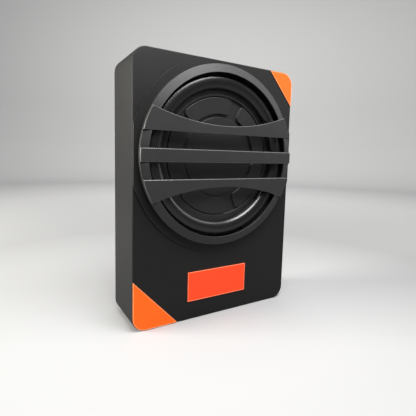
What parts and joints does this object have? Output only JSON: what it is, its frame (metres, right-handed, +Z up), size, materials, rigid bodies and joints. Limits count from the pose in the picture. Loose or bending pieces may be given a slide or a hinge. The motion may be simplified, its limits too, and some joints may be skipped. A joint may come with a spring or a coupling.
{
  "type": "powered car subwoofer",
  "caption": "Slim rectangular powered subwoofer with a round barred grille over a flat driver and a recessed panel of controls and sockets in one end.",
  "frame": {"origin": "middle of the lower short end, midway between the grille's lip and the back cover", "axes": "+Z up the case to the end with the control panel, -Y the way the driver faces, +X to the right seen from the front"},
  "size_m": [0.25, 0.08, 0.345],
  "materials": {
    "shell": "die-cast, fine matt black powder coat",
    "grille": "matt black, fine grain",
    "gasket": "closed-cell foam, matt",
    "black_screw": "black oxide",
    "steel_black": "pressed steel, satin black",
    "surround": "smooth rubber, slightly glossy",
    "cone": "moulded diaphragm, satin",
    "former": "amber film",
    "copper": "enamelled copper",
    "spider": "resin-dipped cloth",
    "zinc": "zinc plated",
    "ferrite": "ground ferrite",
    "paxolin": "laminate board",
    "wire": "insulated wire",
    "panel": "satin black with printed lines",
    "board": "solder-masked board",
    "switch_grey": "moulded",
    "knob": "moulded, satin",
    "button": "moulded, satin",
    "led_green": "tinted clear resin",
    "led_red": "tinted clear resin",
    "jack": "moulded",
    "connector": "moulded nylon, off-white",
    "brass": "plated",
    "nickel": "nickel plated",
    "red_insert": "moulded",
    "black_insert": "moulded",
    "fuse_blue": "tinted clear plastic",
    "terminal_black": "moulded",
    "sink": "extruded",
    "capacitor": "sleeved can",
    "orange_red": "printed plate, satin",
    "orange": "printed badge, satin"
  },
  "bodies": {
    "enclosure": {"amplifier_board": "board", "back_cover": "shell", "back_cover_gasket": "gasket", "back_cover_screws": "black_screw", "back_plate_pole": "zinc", "board_standoffs": "brass", "capacitors": "capacitor", "connector_pins": "brass", "control_board": "board", "control_panel": "panel", "driver_basket": "steel_black", "driver_gasket": "gasket", "driver_screws": "black_screw", "enclosure_shell": "shell", "fuse_holder": "jack", "green_led": "led_green", "grille": "grille", "heat_sink": "sink", "high_level_connector": "connector", "label_plate": "orange_red", "loom_headers": "connector", "lower_badge": "orange", "magnet": "ferrite", "panel_gasket": "gasket", "panel_screws": "black_screw", "pot_bodies": "switch_grey", "rca_barrels": "nickel", "rca_black_insert": "black_insert", "rca_block": "jack", "rca_contacts": "brass", "rca_red_insert": "red_insert", "red_led": "led_red", "remote_jack": "jack", "speaker_leads": "wire", "speaker_terminals": "paxolin", "spider": "spider", "surround": "surround", "switch_bodies": "switch_grey", "terminal_block": "terminal_black", "terminal_clamps": "brass", "tinsel_leads": "copper", "top_plate": "zinc", "toroid": "copper", "transistors": "jack", "upper_badge": "orange", "wiring_looms": "wire"},
    "moving_system": {"cone": "cone", "centre_cap": "cone", "voice_coil_former": "former", "voice_coil_winding": "copper"},
    "level_knob": {"level_knob": "knob"},
    "crossover_knob": {"crossover_knob": "knob"},
    "bass_boost_knob": {"bass_boost_knob": "knob"},
    "phase_button": {"phase_button": "button"},
    "power_mode_button": {"power_mode_button": "button"},
    "fuse": {"fuse_body": "fuse_blue", "fuse_blades": "zinc"},
    "terminal_screw_1": {"terminal_screw_1": "nickel"},
    "terminal_screw_2": {"terminal_screw_2": "nickel"},
    "terminal_screw_3": {"terminal_screw_3": "nickel"}
  },
  "joints": [
    {"name": "cone_slide", "type": "slide", "parent": "enclosure", "child": "moving_system", "axis": [0, 1, 0], "range_m": [-0.006, 0.006], "stiffness_N_per_m": 3000, "deforming": ["surround", "spider", "tinsel_leads"]},
    {"name": "level_turn", "type": "hinge", "parent": "enclosure", "child": "level_knob", "pos_m": [-0.0573, 0.0071, 0.333], "axis": [0, 0, 1], "range_deg": [-135, 135]},
    {"name": "crossover_turn", "type": "hinge", "parent": "enclosure", "child": "crossover_knob", "pos_m": [-0.04, 0.0071, 0.333], "axis": [0, 0, 1], "range_deg": [-135, 135]},
    {"name": "bass_boost_turn", "type": "hinge", "parent": "enclosure", "child": "bass_boost_knob", "pos_m": [-0.0224, 0.0071, 0.333], "axis": [0, 0, 1], "range_deg": [-135, 135]},
    {"name": "phase_press", "type": "slide", "parent": "enclosure", "child": "phase_button", "axis": [0, 0, -1], "range_m": [0, 0.0015], "stiffness_N_per_m": 300},
    {"name": "power_mode_press", "type": "slide", "parent": "enclosure", "child": "power_mode_button", "axis": [0, 0, -1], "range_m": [0, 0.0015], "stiffness_N_per_m": 300},
    {"name": "fuse_pull", "type": "slide", "parent": "enclosure", "child": "fuse", "axis": [0, 0, 1], "range_m": [0, 0.015]},
    {"name": "terminal_screw_1_turn", "type": "hinge", "parent": "enclosure", "child": "terminal_screw_1", "pos_m": [0.0643, 0.01805, 0.335], "axis": [0, 0, 1], "continuous": true},
    {"name": "terminal_screw_2_turn", "type": "hinge", "parent": "enclosure", "child": "terminal_screw_2", "pos_m": [0.0643, 0.00635, 0.335], "axis": [0, 0, 1], "continuous": true},
    {"name": "terminal_screw_3_turn", "type": "hinge", "parent": "enclosure", "child": "terminal_screw_3", "pos_m": [0.0643, -0.00535, 0.335], "axis": [0, 0, 1], "continuous": true}
  ]
}
